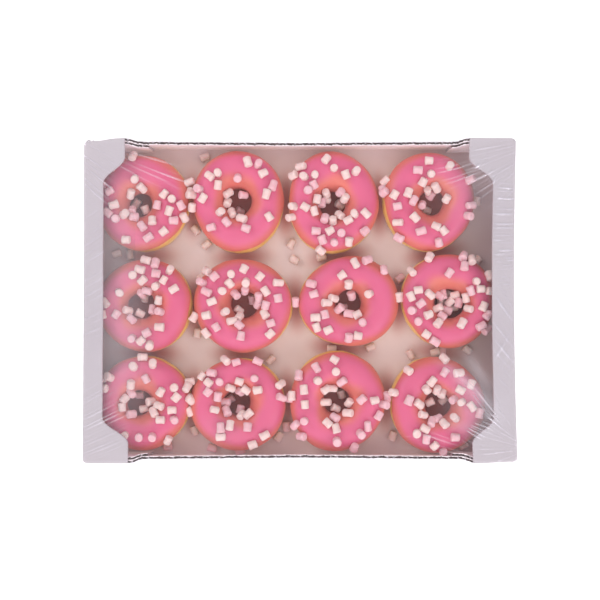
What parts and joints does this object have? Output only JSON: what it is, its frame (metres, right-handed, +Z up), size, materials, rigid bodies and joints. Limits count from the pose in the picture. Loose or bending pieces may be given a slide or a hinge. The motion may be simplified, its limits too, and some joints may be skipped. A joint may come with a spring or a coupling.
{
  "type": "box of doughnuts",
  "caption": "White corrugated bakery tray of pink iced ring doughnuts with mini marshmallows, sealed under clear stretched film.",
  "frame": {"origin": "middle of the pack's underside", "axes": "+X along the long side of the tray, +Y to the back long wall, +Z up"},
  "size_m": [0.4014, 0.3014, 0.0564],
  "materials": {
    "board": "white liner, matt, with raw fluted edges",
    "film": "clear and glossy, with fine creases",
    "dough": "fried golden dough, matt",
    "icing": "pink icing, soft gloss",
    "marshmallow": "soft, powdery and matt"
  },
  "bodies": {
    "root": {"dough_r1c1": "dough", "dough_r1c2": "dough", "dough_r1c3": "dough", "dough_r1c4": "dough", "dough_r2c1": "dough", "dough_r2c2": "dough", "dough_r2c3": "dough", "dough_r2c4": "dough", "dough_r3c1": "dough", "dough_r3c2": "dough", "dough_r3c3": "dough", "dough_r3c4": "dough", "film": "film", "icing_r1c1": "icing", "icing_r1c2": "icing", "icing_r1c3": "icing", "icing_r1c4": "icing", "icing_r2c1": "icing", "icing_r2c2": "icing", "icing_r2c3": "icing", "icing_r2c4": "icing", "icing_r3c1": "icing", "icing_r3c2": "icing", "icing_r3c3": "icing", "icing_r3c4": "icing", "marshmallow_01": "marshmallow", "marshmallow_02": "marshmallow", "marshmallow_03": "marshmallow", "marshmallow_04": "marshmallow", "marshmallow_05": "marshmallow", "marshmallow_06": "marshmallow", "marshmallow_07": "marshmallow", "marshmallow_08": "marshmallow", "marshmallow_09": "marshmallow", "marshmallow_10": "marshmallow", "marshmallow_11": "marshmallow", "marshmallow_12": "marshmallow", "marshmallow_13": "marshmallow", "marshmallow_14": "marshmallow", "marshmallow_15": "marshmallow", "marshmallow_16": "marshmallow", "marshmallow_17": "marshmallow", "marshmallow_18": "marshmallow", "marshmallow_19": "marshmallow", "marshmallow_20": "marshmallow", "marshmallow_21": "marshmallow", "marshmallow_22": "marshmallow", "marshmallow_23": "marshmallow", "marshmallow_24": "marshmallow", "tray": "board"}
  },
  "joints": []
}
